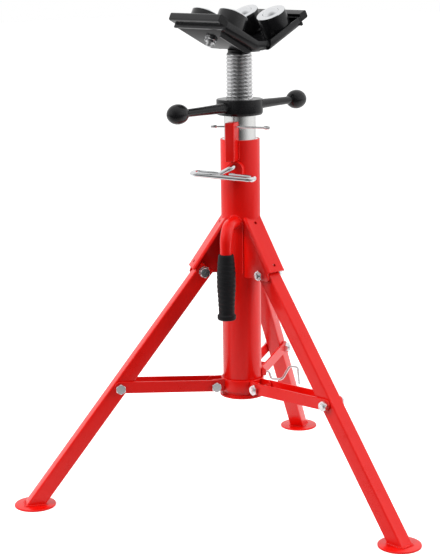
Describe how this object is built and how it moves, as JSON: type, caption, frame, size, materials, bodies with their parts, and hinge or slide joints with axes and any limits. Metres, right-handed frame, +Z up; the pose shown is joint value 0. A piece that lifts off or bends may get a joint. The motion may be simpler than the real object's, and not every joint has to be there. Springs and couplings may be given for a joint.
{
  "type": "pipe stand",
  "caption": "Folding tripod pipe stand with a pinned telescoping column, a screw jack turned by a two-arm hub, and a V head with ball rollers.",
  "frame": {"origin": "point on the floor under the column's axis", "axes": "+Z up along the column; the head's trough lies along Y and its wings spread along X; one leg stands along -Y"},
  "size_m": [0.6748, 0.5935, 0.801],
  "materials": {
    "red_paint": "gloss powder coat",
    "black_paint": "satin black paint",
    "zinc": "bright zinc plate",
    "chrome": "polished",
    "black_grip": "moulded, ribbed"
  },
  "bodies": {
    "column": {"column_tube": "red_paint", "base_disc": "red_paint", "guide_bush": "zinc", "guide_bar": "red_paint", "pin_boss": "red_paint", "bracket_a": "red_paint", "bracket_b": "red_paint", "bracket_c": "red_paint", "pivot_bolts": "zinc", "pivot_nuts": "zinc", "pivot_washers": "zinc", "carry_tube": "red_paint", "handle_grip": "black_grip"},
    "collar": {"collar_ring": "red_paint", "collar_lugs": "red_paint", "collar_bolts": "zinc", "collar_nuts": "zinc", "lock_block": "red_paint"},
    "lock": {"lock_pin": "zinc"},
    "height": {"height_pin": "chrome"},
    "rod": {"cross_rod": "zinc"},
    "inner": {"inner_tube": "zinc", "tube_foot_ring": "zinc", "screw_key": "zinc"},
    "handwheel": {"hub": "black_paint", "hub_arms": "black_paint", "hub_knobs": "black_paint"},
    "screw": {"screw": "zinc", "stop_ring": "zinc"},
    "head": {"head_spigot": "black_paint", "head_plate": "black_paint", "tip_walls": "black_paint", "edge_bars": "black_paint", "head_ribs": "black_paint", "housing_a": "black_paint", "housing_b": "black_paint", "housing_c": "black_paint", "housing_d": "black_paint", "unit_caps": "chrome", "wing_studs": "zinc", "wing_nuts": "zinc", "split_pins": "zinc"},
    "leg_a": {"leg_tube_a": "red_paint", "foot_disc_a": "red_paint"},
    "link_a": {"link_a": "red_paint", "knee_bolt_a": "zinc"},
    "leg_b": {"leg_tube_b": "red_paint", "foot_disc_b": "red_paint"},
    "link_b": {"link_b": "red_paint", "knee_bolt_b": "zinc"},
    "leg_c": {"leg_tube_c": "red_paint", "foot_disc_c": "red_paint"},
    "link_c": {"link_c": "red_paint", "knee_bolt_c": "zinc"},
    "ball_a": {"ball_a": "chrome"},
    "ball_b": {"ball_b": "chrome"},
    "ball_c": {"ball_c": "chrome"},
    "ball_d": {"ball_d": "chrome"}
  },
  "joints": [
    {"name": "leg_a_fold", "type": "hinge", "parent": "column", "child": "leg_a", "pos_m": [0.0556, 0.0321, 0.3788], "axis": [-0.5, 0.866, 0], "range_deg": [0, 31.86]},
    {"name": "leg_b_fold", "type": "hinge", "parent": "column", "child": "leg_b", "pos_m": [-0.0556, 0.0321, 0.3788], "axis": [-0.5, -0.866, 0], "range_deg": [0, 32.06]},
    {"name": "leg_c_fold", "type": "hinge", "parent": "column", "child": "leg_c", "pos_m": [0, -0.0642, 0.3788], "axis": [1, 0, 0], "range_deg": [0, 32.06]},
    {"name": "collar_slide", "type": "slide", "parent": "column", "child": "collar", "axis": [0, 0, 1], "range_m": [0, 0.11591]},
    {"name": "link_a_turn", "type": "hinge", "parent": "collar", "child": "link_a", "pos_m": [0.04114, 0.02375, 0.1845], "axis": [-0.5, 0.866, 0], "range_deg": [0, 79.09]},
    {"name": "link_b_turn", "type": "hinge", "parent": "collar", "child": "link_b", "pos_m": [-0.04114, 0.02375, 0.1845], "axis": [-0.5, -0.866, 0], "range_deg": [0, 79.09]},
    {"name": "link_c_turn", "type": "hinge", "parent": "collar", "child": "link_c", "pos_m": [0, -0.0475, 0.1845], "axis": [1, 0, 0], "range_deg": [0, 79.09]},
    {"name": "lock_pin_slide", "type": "slide", "parent": "collar", "child": "lock", "axis": [0.866, -0.5, 0], "range_m": [-0.0045, 0.03]},
    {"name": "height_pin_slide", "type": "slide", "parent": "column", "child": "height", "axis": [-0.8339, -0.5519, 0], "range_m": [-0.0036, 0.045]},
    {"name": "cross_rod_slide", "type": "slide", "parent": "column", "child": "rod", "axis": [0.5, -0.866, 0], "range_m": [-0.045, 0.016]},
    {"name": "tube_rise", "type": "slide", "parent": "column", "child": "inner", "axis": [0, 0, 1], "range_m": [0, 0.3]},
    {"name": "hub_turn", "type": "hinge", "parent": "inner", "child": "handwheel", "pos_m": [0, 0, 0.643], "axis": [0, 0, 1], "range_deg": [-3600, 4320]},
    {"name": "screw_rise", "type": "slide", "parent": "inner", "child": "screw", "axis": [0, 0, 1], "range_m": [-0.0725, 0.0605]},
    {"name": "head_turn", "type": "hinge", "parent": "screw", "child": "head", "pos_m": [0, 0, 0.7284], "axis": [0, 0, 1], "continuous": true},
    {"name": "ball_a_spin", "type": "hinge", "parent": "head", "child": "ball_a", "pos_m": [-0.04322, -0.0315, 0.78248], "axis": [0, 1, 0], "continuous": true},
    {"name": "ball_b_spin", "type": "hinge", "parent": "head", "child": "ball_b", "pos_m": [0.04322, -0.0315, 0.78248], "axis": [0, 1, 0], "continuous": true},
    {"name": "ball_c_spin", "type": "hinge", "parent": "head", "child": "ball_c", "pos_m": [0.04322, 0.0315, 0.78248], "axis": [0, 1, 0], "continuous": true},
    {"name": "ball_d_spin", "type": "hinge", "parent": "head", "child": "ball_d", "pos_m": [-0.04322, 0.0315, 0.78248], "axis": [0, 1, 0], "continuous": true}
  ],
  "couplings": [
    {"joint": "leg_b_fold", "follows": "leg_a_fold", "ratio": 1},
    {"joint": "leg_c_fold", "follows": "leg_a_fold", "ratio": 1},
    {"joint": "collar_slide", "follows": "leg_a_fold", "m_per_rad": 0.20737},
    {"joint": "link_a_turn", "follows": "leg_a_fold", "ratio": 2.4698},
    {"joint": "link_b_turn", "follows": "leg_a_fold", "ratio": 2.4698},
    {"joint": "link_c_turn", "follows": "leg_a_fold", "ratio": 2.4698},
    {"joint": "screw_rise", "follows": "hub_turn", "m_per_rad": -0.00095493}
  ]
}
